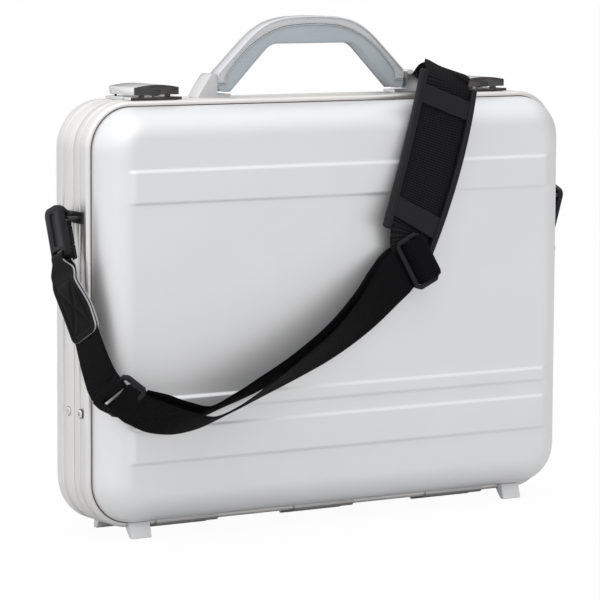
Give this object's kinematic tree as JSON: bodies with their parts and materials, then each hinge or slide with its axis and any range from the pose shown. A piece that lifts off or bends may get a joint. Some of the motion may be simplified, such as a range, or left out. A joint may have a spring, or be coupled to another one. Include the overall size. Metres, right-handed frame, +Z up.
{
  "type": "attache case",
  "caption": "Slim hard attache case in satin aluminium with a folding handle, top latches, bottom hinges, feet and a detachable shoulder strap.",
  "frame": {"origin": "floor plane under the middle of the parting plane between the two halves, with the case standing upright on its feet", "axes": "+X to the right along the case seen from the front, +Y from the front face to the back face, +Z up"},
  "size_m": [0.4964, 0.1644, 0.4134],
  "materials": {
    "shell_aluminium": "satin bead-blasted, clear anodised",
    "frame_aluminium": "satin extruded, clear anodised",
    "lining_fabric": "dark grey woven lining on stiff board",
    "foot_plastic": "grey moulded",
    "leaf_aluminium": "satin",
    "plated_steel": "bright plated",
    "bracket_chrome": "satin plated casting",
    "latch_chrome": "polished plated casting",
    "button_plastic": "black moulded",
    "handle_silver": "silver painted",
    "handle_grey": "blue-grey moulded, fine grain",
    "stay_steel": "brushed strip",
    "strap_plastic": "black moulded",
    "tab_leather": "black leatherette, light edge",
    "webbing": "black ribbed webbing",
    "pad_rubber": "charcoal moulded rubber"
  },
  "bodies": {
    "base": {"back_frame": "frame_aluminium", "back_shell": "shell_aluminium", "back_lining": "lining_fabric", "back_foot_left": "foot_plastic", "back_foot_right": "foot_plastic", "hinge_back_leaf_left": "leaf_aluminium", "hinge_pin_left": "plated_steel", "hinge_back_leaf_middle": "leaf_aluminium", "hinge_pin_middle": "plated_steel", "hinge_back_leaf_right": "leaf_aluminium", "hinge_pin_right": "plated_steel", "handle_bracket_left": "bracket_chrome", "handle_pin_left": "plated_steel", "latch_base_left": "bracket_chrome", "latch_pin_left": "plated_steel", "stay_screw_back_left": "plated_steel", "handle_bracket_right": "bracket_chrome", "handle_pin_right": "plated_steel", "latch_base_right": "bracket_chrome", "latch_pin_right": "plated_steel", "stay_screw_back_right": "plated_steel"},
    "lid": {"front_frame": "frame_aluminium", "front_shell": "shell_aluminium", "front_lining": "lining_fabric", "front_foot_left": "foot_plastic", "front_foot_right": "foot_plastic", "hinge_front_leaf_left": "leaf_aluminium", "hinge_front_leaf_middle": "leaf_aluminium", "hinge_front_leaf_right": "leaf_aluminium", "latch_catch_left": "bracket_chrome", "stay_screw_front_left": "plated_steel", "strap_anchor_left": "plated_steel", "strap_clip_left": "strap_plastic", "strap_tab_left": "tab_leather", "latch_catch_right": "bracket_chrome", "stay_screw_front_right": "plated_steel", "strap_anchor_right": "plated_steel", "strap_clip_right": "strap_plastic", "strap_tab_right": "tab_leather", "strap_web_side": "webbing", "strap_slider": "strap_plastic", "strap_web_outer": "webbing", "strap_web_inner": "webbing", "strap_adjuster": "strap_plastic", "strap_web_pad": "webbing", "pad_frame": "pad_rubber", "strap_web_rear": "webbing", "strap_web_right": "webbing"},
    "handle": {"handle_cover": "handle_silver", "handle_grip": "handle_grey"},
    "latch_left": {"latch_lever_left": "latch_chrome"},
    "button_left": {"latch_button_left": "button_plastic"},
    "gate_left": {"clip_gate_left": "strap_plastic"},
    "back_stay_left": {"stay_back_left": "stay_steel"},
    "front_stay_left": {"stay_front_left": "stay_steel"},
    "latch_right": {"latch_lever_right": "latch_chrome"},
    "button_right": {"latch_button_right": "button_plastic"},
    "gate_right": {"clip_gate_right": "strap_plastic"},
    "back_stay_right": {"stay_back_right": "stay_steel"},
    "front_stay_right": {"stay_front_right": "stay_steel"}
  },
  "joints": [
    {"name": "lid_hinge", "type": "hinge", "parent": "base", "child": "lid", "pos_m": [0, 0, 0.0055], "axis": [1, 0, 0], "range_deg": [0, 95], "deforming": ["strap_web_rear"]},
    {"name": "handle_fold", "type": "hinge", "parent": "base", "child": "handle", "pos_m": [0, 0.0135, 0.36], "axis": [1, 0, 0], "range_deg": [-90, 90]},
    {"name": "latch_left_lift", "type": "hinge", "parent": "base", "child": "latch_left", "pos_m": [-0.1595, 0.025, 0.3539], "axis": [-1, 0, 0], "range_deg": [0, 75]},
    {"name": "button_left_press", "type": "slide", "parent": "latch_left", "child": "button_left", "axis": [0, 1, 0], "range_m": [0, 0.002], "stiffness_N_per_m": 300, "springref_m": -0.001},
    {"name": "gate_left_open", "type": "hinge", "parent": "lid", "child": "gate_left", "pos_m": [-0.2327, -0.00577, 0.23671], "axis": [0, -0.9397, 0.342], "range_deg": [0, 20], "stiffness_Nm_per_rad": 0.02, "springref_deg": -17.19},
    {"name": "stay_back_left_turn", "type": "hinge", "parent": "base", "child": "back_stay_left", "pos_m": [-0.22, 0.0094, 0.1013], "axis": [1, 0, 0], "range_deg": [0, 95]},
    {"name": "stay_front_left_turn", "type": "hinge", "parent": "lid", "child": "front_stay_left", "pos_m": [-0.22, -0.0094, 0.1013], "axis": [1, 0, 0], "range_deg": [-95, 0]},
    {"name": "latch_right_lift", "type": "hinge", "parent": "base", "child": "latch_right", "pos_m": [0.1595, 0.025, 0.3539], "axis": [-1, 0, 0], "range_deg": [0, 75]},
    {"name": "button_right_press", "type": "slide", "parent": "latch_right", "child": "button_right", "axis": [0, 1, 0], "range_m": [0, 0.002], "stiffness_N_per_m": 300, "springref_m": -0.001},
    {"name": "gate_right_open", "type": "hinge", "parent": "lid", "child": "gate_right", "pos_m": [0.2327, 0.00937, 0.23671], "axis": [0, 0.9397, 0.342], "range_deg": [0, 20], "stiffness_Nm_per_rad": 0.02, "springref_deg": -17.19},
    {"name": "stay_back_right_turn", "type": "hinge", "parent": "base", "child": "back_stay_right", "pos_m": [0.22, 0.0094, 0.1013], "axis": [1, 0, 0], "range_deg": [0, 95]},
    {"name": "stay_front_right_turn", "type": "hinge", "parent": "lid", "child": "front_stay_right", "pos_m": [0.22, -0.0094, 0.1013], "axis": [1, 0, 0], "range_deg": [-95, 0]}
  ],
  "couplings": [
    {"joint": "stay_back_left_turn", "follows": "lid_hinge", "ratio": 1},
    {"joint": "stay_front_left_turn", "follows": "lid_hinge", "ratio": -1},
    {"joint": "stay_back_right_turn", "follows": "lid_hinge", "ratio": 1},
    {"joint": "stay_front_right_turn", "follows": "lid_hinge", "ratio": -1}
  ]
}
